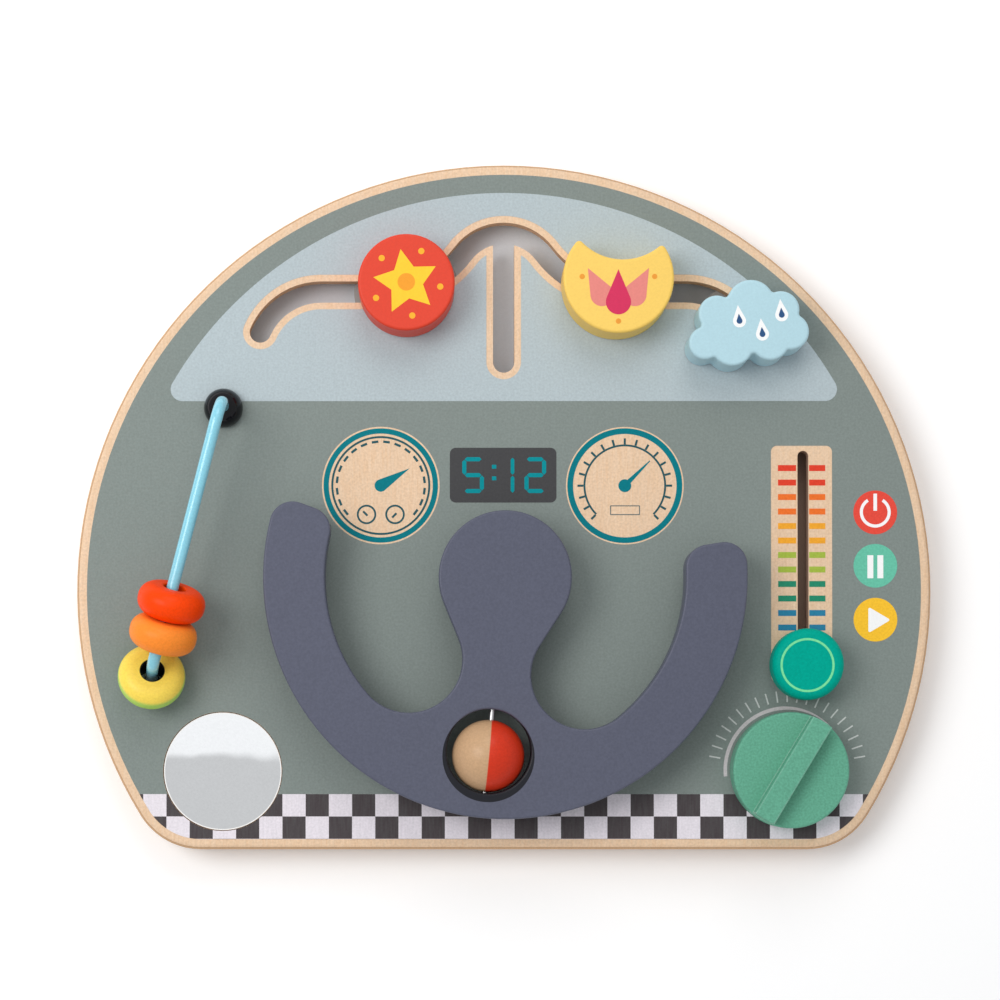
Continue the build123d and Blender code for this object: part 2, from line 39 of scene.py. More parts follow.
import bmesh
import bpy
from bpy.props import FloatProperty, FloatVectorProperty
from mathutils import Matrix, Vector

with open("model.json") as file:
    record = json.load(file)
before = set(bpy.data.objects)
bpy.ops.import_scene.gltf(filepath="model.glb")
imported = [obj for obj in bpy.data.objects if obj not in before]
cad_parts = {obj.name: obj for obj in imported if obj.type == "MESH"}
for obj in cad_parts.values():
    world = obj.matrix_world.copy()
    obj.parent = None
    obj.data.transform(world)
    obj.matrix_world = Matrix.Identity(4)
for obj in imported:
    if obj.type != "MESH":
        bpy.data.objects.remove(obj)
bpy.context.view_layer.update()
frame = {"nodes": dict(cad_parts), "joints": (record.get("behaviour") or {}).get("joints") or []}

PANEL_LOW, PANEL_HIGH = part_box("front_panel")
DOME_R = (PANEL_HIGH[0] - PANEL_LOW[0]) / 2
DOME_Y = PANEL_HIGH[1] - DOME_R  # row height of the round top's centre
FLAT_Y = PANEL_LOW[1] - DOME_Y
FACE_Z = PANEL_HIGH[2]
CORNER_R = 0.030

# The umbrella slot's centre line, from the round top's centre.
SLOT_HALF = 0.0045
ARCH_R, ARCH_Y = 0.0215, 0.1294
RUN_Y = 0.1261
KNEE_R = 0.040
END_R, END_X, END_ANGLE = 0.028, 0.0769, 66.6
LEG_Y = 0.0965

# Pieces that pass through the print: x and y from the round top's centre, and a radius.
WHEEL_AXLE = (0.0, 0.0045, 0.0072)
DIAL_SPOT = (0.1192, -0.0754)
DIAL_AXLE = (*DIAL_SPOT, 0.0052)
MIRROR_SPOT = (-0.1183, -0.0760)
MIRROR_HOLE = (*MIRROR_SPOT, 0.0251)
MIRROR_SILVER_R = 0.0243  # the ground rim lies outside it
WHEEL_TILT = -5.4  # degrees that the ball's seam leans
BALL_SHADE_REACH = 0.0040  # from the ball to the outer edge of the painted shade on its hole's walls
BEAD_SEAM = 0.0023  # from the yellow bead's middle to the seam of its colours
# the yellow bead's hole is painted dark as shade inside this radius
BEAD_HOLE_R = 0.0051

# Prints, from the round top's centre. A panel is (left, low, right, high).
LEFT_GAUGE, RIGHT_GAUGE, GAUGE_R = (-0.0518, 0.0444), (0.0510, 0.0443), 0.0248
GAUGE_STEP = 15  # degrees from one mark to the next
DASH_R, TICK_R = 0.0185, 0.0187  # rows of marks in the left and the right gauge
LEFT_NEEDLE, RIGHT_NEEDLE = 30.7, 44.7  # degrees
SMALL_GAUGE_X, SMALL_GAUGE_Y = 0.0060, -0.0122  # from the left gauge's middle
FADER_PANEL = (0.11254, -0.0386, 0.13824, 0.0611)
CLOCK_PANEL = (-0.0227, 0.0372, 0.0222, 0.0603)
PANEL_CORNER = 0.0025
WINDOW_CORNER = 0.005
CHECK_TOP, CHECK_LOW_ROW = -0.08559, -0.0950
CHECK_W, CHECK_H, CHECK_START = 0.009764, 0.0094, -0.09315
BAR_ROWS, BAR_TOP, BAR_PITCH = 12, 0.0517, 0.006107
BUTTON_X, BUTTON_R = 0.1564, 0.0092
POWER_Y, PAUSE_Y, PLAY_Y = 0.0331, 0.0101, -0.0123  # rows of the signs
DIAL_TICK_R, DIAL_ARC_R = 0.0309, 0.0258

LAYER = 0.00005  # thickness of one printed layer
SINK = 0.00002  # how far the lowest layer sits in the wood
VENEER = 0.00045  # face veneer of each ply sheet
EDGE_BAND = 0.0025  # width of the board's rim that keeps its bare plies
UMBRELLA_ROW = 0.035  # a row below the umbrella slot and above the foot's corners, from the frame's zero

# The stage.
FLOOR_Z, FLOOR_REACH = -0.0002, 4.0
CARD_Z, CARD_REACH = 1.30, 0.5
CARD_EDGE = -0.113  # row where the card's tone changes
CARD_MIDDLE = (-0.10, CARD_EDGE + 0.30)
CARD_LEVELS = (0.615, 0.97)
KEY_PLACE, TOP_PLACE, LAMP_SIZE = (-0.72, 0.18, 1.06), (0.08, 0.85, 0.86), 0.75
CAMERA_XY, CAMERA_TURN = (-0.0324, -0.0996), (0.58, 0.15)
LENS, LENS_SHIFT = 86.9, (0.0795, 0.2185)


def srgb(red, green, blue):
    """A colour written as 0 to 255, in Blender's linear values."""
    return tuple(c / 12.92 if c <= 0.04045 else ((c + 0.055) / 1.055) ** 2.4
                 for c in (red / 255, green / 255, blue / 255))


def tint(tone, *shares):
    """The tone with its channels scaled, all by one share or each by its own."""
    return tuple(c * k for c, k in zip(tone, shares if len(shares) == 3 else shares * 3))


def paler(tone, share):
    """The tone moved towards white by a share."""
    return tuple(c + (1.0 - c) * share for c in tone)


def polar(radius, degrees, x=0.0, y=0.0):
    """The point at a radius and an angle from (x, y)."""
    turn = math.radians(degrees)
    return x + radius * math.cos(turn), y + radius * math.sin(turn)


def middle_of(node):
    """The middle of a solid's box."""
    low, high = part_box(node)
    return tuple((a + b) / 2 for a, b in zip(low, high))


def length(name, description, default):
    return FloatProperty(name=name, description=description, default=default, min=0.0, unit="LENGTH",
                         subtype="DISTANCE", precision=4)


def colour(name, description, default):
    return FloatVectorProperty(name=name, description=description, subtype="COLOR", size=3, min=0.0, max=1.0,
                               default=default)


def lamp_power(name, description, default):
    return FloatProperty(name=name, description=description, default=default, min=0.0, unit="POWER")


class BusyBoardPrintSettings(bpy.types.PropertyGroup):
    """Sizes and colours of the printed face."""

    border: length("Bare border", "Width of the bare wood round the printed face", 0.0044)
    slot_border: length("Slot border", "Width of the bare wood round the umbrella slot", 0.0028)
    window_radius: length("Window radius", "Radius of the pale window print", 0.1616)
    window_rise: length("Window rise", "Height of the window's centre over the round top's centre", 0.0063)
    window_base: length("Window base", "Height of the window's straight side over the round top's centre",
                        0.0800)
    paint: colour("Face paint", "Grey green of the face", srgb(130, 140, 136))
    window: colour("Window", "Pale blue of the window print", srgb(180, 193, 198))
    teal: colour("Teal", "Rings and needles of the gauges", srgb(0, 122, 134))
    gauge_lines: colour("Gauge lines", "Thin lines of the gauges", srgb(26, 82, 90))
    digits: colour("Digits", "The clock's digits", srgb(0, 144, 154))
    dark: colour("Dark", "Clock panel", srgb(66, 66, 68))
    line_grey: colour("Line grey", "Ticks round the dial", srgb(205, 208, 206))
    check_dark: colour("Check dark", "Dark squares of the lower strip", srgb(69, 61, 64))
    check_light: colour("Check light", "Pale squares of the lower strip", srgb(235, 228, 236))


class BusyBoardPaintSettings(bpy.types.PropertyGroup):
    """Paint of the moving pieces, and the bare wood."""

    wheel: colour("Wheel", "Steering wheel", srgb(89, 92, 109))
    red: colour("Red", "Round slider", srgb(226, 69, 46))
    yellow: colour("Yellow", "Crescent slider", srgb(250, 209, 104))
    cloud: colour("Cloud", "Cloud slider", srgb(182, 217, 228))
    fader: colour("Fader", "Fader knob", srgb(0, 166, 146))
    dial: colour("Dial", "Dial knob", srgb(99, 169, 142))
    bead_red: colour("Red bead", "Upper bead", srgb(255, 70, 0))
    bead_orange: colour("Orange bead", "Middle bead", srgb(253, 142, 50))
    bead_yellow: colour("Yellow bead", "Front of the lowest bead", srgb(255, 221, 92))
    bead_green: colour("Green bead", "Back of the lowest bead", srgb(176, 216, 96))
    wire: colour("Wire", "Bead wire", srgb(138, 210, 230))
    birch: colour("Birch", "Bare birch ply", srgb(233, 203, 173))


class BusyBoardStageSettings(bpy.types.PropertyGroup):
    """Floor, light and camera."""

    floor: colour("Floor", "Pale floor", (0.97, 0.97, 0.975))
    fill: FloatProperty(name="Fill", description="Strength of the even light", default=0.57, min=0.0)
    key: lamp_power("Key", "Power of the soft lamp at the left", 7.2)
    top: lamp_power("Top light", "Power of the soft lamp above the board's top", 3.0)
    camera_height: length("Camera height", "Distance from the face to the camera", 1.016)


def prints():
    return bpy.context.scene.busy_board_prints


def paints():
    return bpy.context.scene.busy_board_paints


# ---- looks ----


class Look:
    """A material whose patterns read the piece's own coordinates."""

    def __init__(self, name, rough=0.45, metal=0.0, coat=0.0, coat_rough=0.1, specular=0.22):
        self.material = bpy.data.materials.new(name)
        self.material.use_nodes = True
        self.tree = self.material.node_tree
        self.shader = self.tree.nodes["Principled BSDF"]
        self.shader.inputs["Roughness"].default_value = rough
        self.shader.inputs["Metallic"].default_value = metal
        self.shader.inputs["Coat Weight"].default_value = coat
        self.shader.inputs["Coat Roughness"].default_value = coat_rough
        self.shader.inputs["Specular IOR Level"].default_value = 0.5 if metal else specular
        self.where = self.node("TexCoord")
        self.spot = self.where.outputs["Object"]

    def node(self, kind, inputs=None, **settings):
        made = self.tree.nodes.new("ShaderNode" + kind)
        for name, value in settings.items():
            setattr(made, name, value)
        for socket, value in (inputs or {}).items():
            self.feed(made.inputs[socket], value)
        return made

    def feed(self, socket, value):
        if isinstance(value, bpy.types.NodeSocket):
            self.tree.links.new(value, socket)
        elif socket.type == "RGBA" and len(value) == 3:
            socket.default_value = (*value, 1.0)
        else:
            socket.default_value = value

    def math(self, operation, first, second=0.0):
        return self.node("Math", {0: first, 1: second}, operation=operation).outputs[0]

    def noise(self, scale, detail=3.0, stretch=(1.0, 1.0, 1.0), turn=0.0):
        """Noise from 0 to 1, its scale in waves to the metre."""
        place = self.node("Mapping", {"Vector": self.spot, "Scale": stretch, "Rotation": (0.0, 0.0, turn)})
        inputs = {"Vector": place.outputs[0], "Scale": scale, "Detail": detail}
        return self.node("TexNoise", inputs).outputs["Fac"]

    def range(self, value, low, high, to_low=0.0, to_high=1.0):
        return self.node("MapRange", {"Value": value, "From Min": low, "From Max": high, "To Min": to_low,
                                      "To Max": to_high}).outputs["Result"]

    def mix(self, share, first, second, blend="MIX"):
        made = self.node("Mix", data_type="RGBA", blend_type=blend)
        for socket, value in (("Factor_Float", share), ("A_Color", first), ("B_Color", second)):
            self.feed(next(s for s in made.inputs if s.identifier == socket), value)
        return next(s for s in made.outputs if s.identifier == "Result_Color")

    def shade(self, tone, amount, pattern):
        """The tone, darker and lighter by a share as the pattern goes from 0 to 1."""
        low = tuple(c * (1.0 - amount) for c in tone)
        high = tuple(min(1.0, c * (1.0 + amount)) for c in tone)
        return self.mix(pattern, low, high)

    def speckle(self, body, amount, scale=1100.0):
        """The body with fine specks, darker and lighter by a share."""
        specks = self.range(self.noise(scale, 2.0), 0.3, 0.7, 1.0 - amount, 1.0 + amount)
        return self.mix(1.0, body, specks, "MULTIPLY")

    def vector(self, operation, first, second=None, result="Vector"):
        inputs = {0: first} if second is None else {0: first, 1: second}
        return self.node("VectorMath", inputs, operation=operation).outputs[result]

    def part(self, vector, axis):
        """One of the X, Y and Z of a vector."""
        return self.node("SeparateXYZ", {0: vector}).outputs[axis]

    def within(self, x, y, radius):
        """1 inside an upright cylinder, 0 outside it."""
        flat = self.vector("MULTIPLY", self.vector("SUBTRACT", self.spot, (x, y, 0.0)), (1.0, 1.0, 0.0))
        return self.math("LESS_THAN", self.vector("LENGTH", flat, result="Value"), radius)

    def corner(self, radius):
        """How far a point is up a corner: 0 on a flat, up to 1 on a sharp edge."""
        soft = self.node("Bevel", {"Radius": radius}, samples=4).outputs["Normal"]
        hard = self.node("NewGeometry").outputs["Normal"]
        return self.range(self.vector("DOT_PRODUCT", soft, hard, result="Value"), 0.97, 0.80)

    def colour(self, value):
        self.feed(self.shader.inputs["Base Color"], value)

    def roughness(self, value):
        self.feed(self.shader.inputs["Roughness"], value)

    def bump(self, height, distance):
        made = self.node("Bump", {"Height": height, "Distance": distance, "Strength": 1.0})
        self.feed(self.shader.inputs["Normal"], made.outputs["Normal"])


LOOKS = {}


def look(name, build):
    """The look of this name, built the first time that it is asked for."""
    if name not in LOOKS:
        LOOKS[name] = build(name)
    return LOOKS[name].material


def paint_look(tone, rough=0.42, grain=0.00004, edge_wear_and_highlight=0.10, specular=0.22, specks=0.08, shaded_hole=None):
    """Satin paint on wood: a soft mottle, fine fibres that show through, and paler edges, partly wear and
    partly a painted highlight.

    A shaded hole is a round hole (x, y, radius) whose walls and rim are painted dark as shade.
    """
    def build(name):
        made = Look(name, rough, specular=specular)
        cloudy = made.noise(22.0, 2.0)
        fibre = made.noise(160.0, 4.0, stretch=(7.0, 1.0, 7.0))
        grit = made.noise(2600.0, 1.0)
        body = made.shade(tone, 0.035, cloudy)
        body = made.mix(made.range(fibre, 0.3, 0.7, 0.0, 0.05), body, tint(tone, 0.8))
        body = made.speckle(body, specks)
        if shaded_hole:
            # painted shade: the hole's walls and rim are darkened to stand in for the shade inside the hole
            body = made.mix(made.within(*shaded_hole), body, tint(tone, 0.12))
        # paler edges: partly wear, partly a painted highlight along every rounded edge
        worn = made.math("MULTIPLY", made.corner(0.0009), made.range(cloudy, 0.35, 0.65, 0.4, 1.0))
        body = made.mix(made.math("MULTIPLY", worn, edge_wear_and_highlight * 4.0), body, paler(tone, 0.45))
        made.colour(body)
        made.roughness(made.range(fibre, 0.3, 0.7, rough - 0.04, rough + 0.06))
        relief = made.math("ADD", made.math("MULTIPLY", fibre, 0.7), made.math("MULTIPLY", grit, 0.35))
        made.bump(relief, grain)
        return made
    return build


def print_look(tone, specular=0.22, specks=0.075):
    """Ink on sanded ply: flat, with the finest trace of the grain under it."""
    def build(name):
        made = Look(name, 0.5, specular=specular)
        cloudy = made.noise(14.0, 2.0)
        fibre = made.noise(120.0, 5.0, stretch=(9.0, 0.8, 1.0))
        grit = made.noise(2200.0, 1.0)
        body = made.shade(tone, 0.03, cloudy)
        body = made.mix(made.range(fibre, 0.35, 0.75, 0.0, 0.10), body, tint(tone, 0.78))
        made.colour(made.speckle(body, specks))
        made.roughness(made.range(fibre, 0.3, 0.7, 0.45, 0.57))
        relief = made.math("ADD", made.math("MULTIPLY", fibre, 0.6), made.math("MULTIPLY", grit, 0.5))
        made.bump(relief, 0.00003)
        return made
    return build


def wood_body(made, tone, along=(10.0, 0.9, 2.5)):
    """Bare birch: straight fine fibres with broad, faint bands."""
    band = made.noise(26.0, 3.0, stretch=(2.6, 0.35, 1.0))
    fibre = made.noise(190.0, 6.0, stretch=along)
    pore = made.noise(900.0, 2.0, stretch=(6.0, 0.5, 3.0))
    body = made.shade(tone, 0.07, band)
    body = made.mix(made.range(fibre, 0.35, 0.75, 0.0, 0.55), body, tint(tone, 0.93, 0.80, 0.64))
    body = made.mix(made.range(pore, 0.62, 0.8, 0.0, 0.25), body, tint(tone, 0.80, 0.62, 0.45))
    return made.speckle(body, 0.09, 1000.0), fibre


def at_umbrella(made):
    """1 in the rows of the umbrella slot and in from the board's edge, 0 elsewhere."""
    above = made.math("GREATER_THAN", made.part(made.spot, "Y"), UMBRELLA_ROW)
    return made.math("MULTIPLY", made.within(0.0, DOME_Y, DOME_R - EDGE_BAND), above)


def at_fader(made):
    """1 under the fader's panel, 0 elsewhere."""
    left, low, right, high = FADER_PANEL
    away = made.vector("SUBTRACT", made.spot, ((left + right) / 2, (low + high) / 2 + DOME_Y, 0.0))
    far = made.vector("MULTIPLY", away, (2.0 / (right - left), 2.0 / (high - low), 0.0))
    size = made.vector("ABSOLUTE", far)
    return made.math("LESS_THAN", made.math("MAXIMUM", made.part(size, "X"), made.part(size, "Y")), 1.0)


def ply_look(tone, node, plies, coat_face=None, coat_walls=None):
    """Birch plywood: a veneer on each face and plies between, by depth through the node's sheet.

    A coat can cover the upper face, and the walls of the umbrella slot. The fader's slot is darker.
    """
    low, high = (corner[2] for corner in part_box(node))
    ply = (high - low - 2 * VENEER) / plies
    half = (high - low) / 2
    fader_tone = srgb(176, 146, 128)

    def build(name):
        made = Look(name, 0.55)
        face, fibre = wood_body(made, tone)
        height = made.part(made.spot, "Z")
        step = made.math("MULTIPLY", made.math("SUBTRACT", height, low + VENEER), 1.0 / ply)
        layer = made.math("FLOORED_MODULO", made.math("FLOOR", step), 2.0)
        from_middle = made.math("ABSOLUTE", made.math("SUBTRACT", made.math("FRACT", step), 0.5))
        speck = made.noise(1500.0, 2.0, stretch=(1.0, 1.0, 0.4))
        cross = made.mix(made.range(speck, 0.3, 0.7, 0.1, 0.6), tint(tone, 0.88, 0.76, 0.62),
                         tint(tone, 0.60, 0.46, 0.34))
        along = made.shade(tint(tone, 1.0, 0.93, 0.82), 0.08, speck)
        edge = made.mix(layer, cross, along)
        glue = made.range(from_middle, 0.38, 0.49, 0.0, 0.75)
        edge = made.mix(glue, edge, tint(tone, 0.30, 0.20, 0.14))
        depth = made.math("ABSOLUTE", made.math("SUBTRACT", height, (low + high) / 2))
        flat = made.range(depth, half - VENEER, half - VENEER + 0.00008)
        fader = at_fader(made)
        top = face
        if coat_face:
            up = made.part(made.where.outputs["Normal"], "Z")
            grit = made.noise(1100.0, 2.0)
            top = made.mix(made.range(up, 0.8, 0.9), face, made.shade(coat_face, 0.05, grit))
        if coat_walls:
            umbrella = at_umbrella(made)
            edge = made.mix(umbrella, edge, coat_walls)
            flat = made.math("MULTIPLY", flat, made.math("SUBTRACT", 1.0, umbrella))
        edge = made.mix(fader, edge, fader_tone)
        if coat_face or coat_walls:
            top = made.mix(fader, top, fader_tone)
        made.colour(made.mix(flat, edge, top))
        made.roughness(made.range(fibre, 0.3, 0.7, 0.48, 0.62))
        made.bump(fibre, 0.00006)
        return made
    return build


def beech_look(tone):
    def build(name):
        made = Look(name, 0.5)
        body, fibre = wood_body(made, tone, along=(6.0, 6.0, 0.7))
        made.colour(body)
        made.bump(fibre, 0.00005)
        return made
    return build


def steel_look(name):
    made = Look(name, 0.32, metal=1.0)
    brush = made.noise(700.0, 4.0, stretch=(1.0, 1.0, 0.15))
    made.colour(made.shade((0.60, 0.60, 0.61), 0.10, brush))
    made.roughness(made.range(brush, 0.3, 0.7, 0.24, 0.42))
    made.bump(brush, 0.00001)
    return made


def gloss_look(tone, rough, scuff=0.05, coat=0.35, specular=0.22):
    """A glossy skin with faint scuffs, for plastic, beads and the painted wire."""
    def build(name):
        made = Look(name, rough, coat=coat, coat_rough=rough * 0.6, specular=specular)
        scuffs = made.noise(900.0, 4.0, stretch=(1.0, 4.0, 1.0), turn=0.6)
        cloudy = made.noise(60.0, 2.0)
        worn = made.range(scuffs, 0.6, 0.8, 0.0, scuff)
        body = made.mix(worn, made.shade(tone, 0.04, cloudy), paler(tone, 0.25))
        made.colour(made.speckle(body, 0.06))
        made.roughness(made.range(scuffs, 0.45, 0.75, rough, rough + 0.12))
        made.bump(made.noise(420.0, 2.0), 0.00003)
        return made
    return build


def two_tone_look(front, back, middle, axis, soft=0.0002, rough=0.38, hole=0.0):
    """Two colours that meet in a plane through a point, front on the axis's side.

    A hole is the radius of a hole along the axis whose walls are painted dark as shade.
    """
    def build(name):
        made = Look(name, rough, coat=0.12, coat_rough=0.2, specular=0.15)
        away = made.vector("SUBTRACT", made.spot, middle)
        side = made.vector("DOT_PRODUCT", away, axis, result="Value")
        fibre = made.noise(260.0, 4.0, stretch=(1.0, 5.0, 5.0))
        far, near = made.shade(back, 0.05, fibre), made.shade(front, 0.05, fibre)
        body = made.mix(made.range(side, -soft, soft), far, near)
        if hole:
            # painted shade: the walls of the hole along the axis are darkened to stand in for the shade
            # inside it
            reach = made.vector("LENGTH", made.vector("CROSS_PRODUCT", away, axis), result="Value")
            body = made.mix(made.range(reach, hole, hole + 0.0002), srgb(34, 26, 20), body)
        made.colour(made.speckle(body, 0.06))
        made.roughness(made.range(fibre, 0.3, 0.7, rough - 0.03, rough + 0.07))
        made.bump(fibre, 0.00004)
        return made
    return build


def mirror_look(name):
    """Silvered plastic with a ground rim."""
    made = Look(name, 0.03)
    haze = made.noise(45.0, 3.0)
    scratch = made.noise(1300.0, 3.0, stretch=(1.0, 12.0, 1.0), turn=0.9)
    silver = made.within(MIRROR_SPOT[0], DOME_Y + MIRROR_SPOT[1], MIRROR_SILVER_R)
    made.feed(made.shader.inputs["Metallic"], silver)
    made.colour(made.speckle(made.shade((0.955, 0.962, 0.965), 0.015, haze), 0.025))
    fine = made.math("ADD", made.range(haze, 0.3, 0.7, 0.01, 0.03), made.range(scratch, 0.68, 0.8, 0.0, 0.06))
    made.roughness(made.math("MAXIMUM", fine, made.math("SUBTRACT", 0.6, silver)))
    made.bump(made.noise(28.0, 1.0), 0.00006)
    return made


def foam_look(name):
    made = Look(name, 0.8)
    cells = made.noise(2500.0, 2.0)
    made.colour(made.shade((0.80, 0.80, 0.78), 0.12, cells))
    made.bump(cells, 0.0001)
    return made


def check_look(name):
    """Dark and pale squares in ink. The whole squares added to the pattern's place keep it positive."""
    tones = prints()
    made = Look(name, 0.5)
    start = (101 - CHECK_START / CHECK_W, 100 - (DOME_Y + CHECK_LOW_ROW) / CHECK_H, 0.5)
    place = made.node("Mapping", {"Vector": made.spot, "Location": start,
                                  "Scale": (1.0 / CHECK_W, 1.0 / CHECK_H, 0.0)})
    checks = made.node("TexChecker", {"Vector": place.outputs[0], "Color1": tuple(tones.check_light),
                                      "Color2": tuple(tones.check_dark), "Scale": 1.0})
    fibre = made.noise(120.0, 5.0, stretch=(9.0, 0.8, 1.0))
    body = made.mix(made.range(fibre, 0.35, 0.75, 0.0, 0.12), checks.outputs["Color"], tuple(tones.paint))
    made.colour(made.speckle(body, 0.07))
    made.roughness(made.range(fibre, 0.3, 0.7, 0.44, 0.58))
    made.bump(fibre, 0.00003)
    return made


# ---- shapes ----


def arc(x, y, radius, start, sweep, steps=None):
    """Points on an arc, both ends included, angles in degrees."""
    steps = steps or max(2, math.ceil(abs(sweep) / 2.5))
    return [polar(radius, start + sweep * i / steps, x, y) for i in range(steps + 1)]


def ring(x, y, radius):
    return arc(x, y, radius, 0, 360)[:-1]


def hoop(x, y, outer, inner):
    """A ring with a width: its outer and its inner loop."""
    return [ring(x, y, outer), ring(x, y, inner)]


def marks(start, step, count):
    """The angles of a scale's marks."""
    return [start + step * i for i in range(count)]


def block(left, low, right, high, radius):
    """A rectangle with rounded corners."""
    spots = ((right - radius, high - radius, 0), (left + radius, high - radius, 90),
             (left + radius, low + radius, 180), (right - radius, low + radius, 270))
    return [p for x, y, start in spots for p in arc(x, y, radius, start, 90, 8)]


def drop(x, y, radius, reach, heading):
    """A round drop whose point lies at reach from its middle."""
    open_angle = math.degrees(math.acos(radius / reach))
    return arc(x, y, radius, heading + open_angle, 360 - 2 * open_angle) + [polar(reach, heading, x, y)]


def board_loop(inset):
    """The board's outline, moved inwards."""
    radius = CORNER_R - inset
    corner_y = FLAT_Y + CORNER_R
    corner_x = math.sqrt((DOME_R - CORNER_R) ** 2 - corner_y ** 2)
    turn = math.degrees(math.atan2(corner_y, corner_x))
    return (arc(0, 0, DOME_R - inset, turn, 180 - 2 * turn, 120)
            + arc(-corner_x, corner_y, radius, 180 - turn, 90 + turn, 20)
            + arc(corner_x, corner_y, radius, -90, 90 + turn, 20))


def umbrella_loop(half):
    """The umbrella slot's outline at half its width, clockwise from the top of the arch."""
    knee_y = RUN_Y + KNEE_R
    knee_x = math.sqrt((ARCH_R + KNEE_R) ** 2 - (knee_y - ARCH_Y) ** 2)
    knee = math.degrees(math.atan2(knee_x, knee_y - ARCH_Y))
    end_y = RUN_Y - END_R
    tip = polar(END_R, 90 - END_ANGLE, END_X, end_y)
    inner = ARCH_R - half
    leg = math.degrees(math.asin(half / inner))
    right = (arc(0, ARCH_Y, ARCH_R + half, 90, -knee)
             + arc(knee_x, knee_y, KNEE_R - half, -90 - knee, knee)
             + arc(END_X, end_y, END_R + half, 90, -END_ANGLE)
             + arc(*tip, half, 90 - END_ANGLE, -180)
             + arc(END_X, end_y, END_R - half, 90 - END_ANGLE, END_ANGLE)
             + arc(knee_x, knee_y, KNEE_R + half, -90, -knee)
             + arc(0, ARCH_Y, inner, 90 - knee, knee - leg)
             + arc(0, LEG_Y, half, 0, -90, 12))
    return right + [(-x, y) for x, y in reversed(right)][1:-1]


def new_piece(name, mesh, material, slot, body):
    """A finished mesh as a piece of its own, on its body."""
    piece = bpy.data.objects.new(name, mesh)
    bpy.context.scene.collection.objects.link(piece)
    mesh.materials.append(material)
    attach(piece, body)
    return piece


def closed(mesh):
    """Joins the mesh's doubled points and turns its faces outwards."""
    work = bmesh.new()
    work.from_mesh(mesh)
    bmesh.ops.remove_doubles(work, verts=work.verts, dist=1e-7)
    bmesh.ops.recalc_face_normals(work, faces=work.faces)
    work.to_mesh(mesh)
    work.free()


def flat_print(name, loops, level, material, slot="printed_ply", body="board", base=FACE_Z,
               place=(0.0, DOME_Y)):
    """A printed layer filled between closed loops. Level counts the layers under it."""
    low = base + level * LAYER - (0.0 if level else SINK)
    high = base + (level + 1) * LAYER
    curve = bpy.data.curves.new(name, "CURVE")
    curve.dimensions = "2D"
    curve.fill_mode = "BOTH"
    curve.extrude = (high - low) / 2
    for loop in loops:
        spline = curve.splines.new("POLY")
        spline.points.add(len(loop) - 1)
        for point, (x, y) in zip(spline.points, loop):
            point.co = (x, y, 0.0, 1.0)
        spline.use_cyclic_u = True
    outline = bpy.data.objects.new(name + "_outline", curve)
    bpy.context.scene.collection.objects.link(outline)
    mesh = bpy.data.meshes.new_from_object(outline.evaluated_get(bpy.context.evaluated_depsgraph_get()))
    mesh.name = name
    bpy.data.objects.remove(outline)
    mesh.transform(Matrix.Translation((*place, (low + high) / 2)))
    closed(mesh)
    return new_piece(name, mesh, material, slot, body)


def bars_print(name, bars, level, materials, place=(0.0, DOME_Y)):
    """Printed bars in one layer on the face, each (x, y, length, width, degrees, material number)."""
    work = bmesh.new()
    for x, y, long, wide, heading, number in bars:
        where = (Matrix.Translation((x, y, 0.0)) @ Matrix.Rotation(math.radians(heading), 4, "Z")
                 @ Matrix.Diagonal((long, wide, LAYER, 1.0)))
        made = bmesh.ops.create_cube(work, size=1.0, matrix=where)
        for face in {f for v in made["verts"] for f in v.link_faces}:
            face.material_index = number
    bmesh.ops.translate(work, verts=work.verts, vec=(*place, FACE_Z + (level + 0.5) * LAYER))
    mesh = bpy.data.meshes.new(name)
    work.to_mesh(mesh)
    work.free()
    new_piece(name, mesh, materials[0], "printed_ply", "board")
    for extra in materials[1:]:
        mesh.materials.append(extra)


def dress(material, *nodes):
    """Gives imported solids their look."""
    for node in nodes:
        for holder in frame["nodes"][node].material_slots:
            holder.material = material


def steel():
    return look("steel", steel_look)


def beech():
    return look("beech", beech_look(srgb(222, 184, 140)))


# ---- operators ----


class BUSYBOARD_OT_board_wood(bpy.types.Operator):
    """Give the three sheets of the board their birch ply"""

    bl_idname = "busyboard.board_wood"
    bl_label = "Board wood"

    def execute(self, context):
        birch, pale = tuple(paints().birch), srgb(228, 232, 238)
        dress(look("birch_ply_front", ply_look(birch, "front_panel", 5)), "front_panel")
        dress(look("birch_ply_core", ply_look(birch, "core_frame", 5, coat_walls=pale)), "core_frame")
        dress(look("birch_ply_back", ply_look(birch, "back_panel", 3, coat_face=pale)), "back_panel")
        return {"FINISHED"}


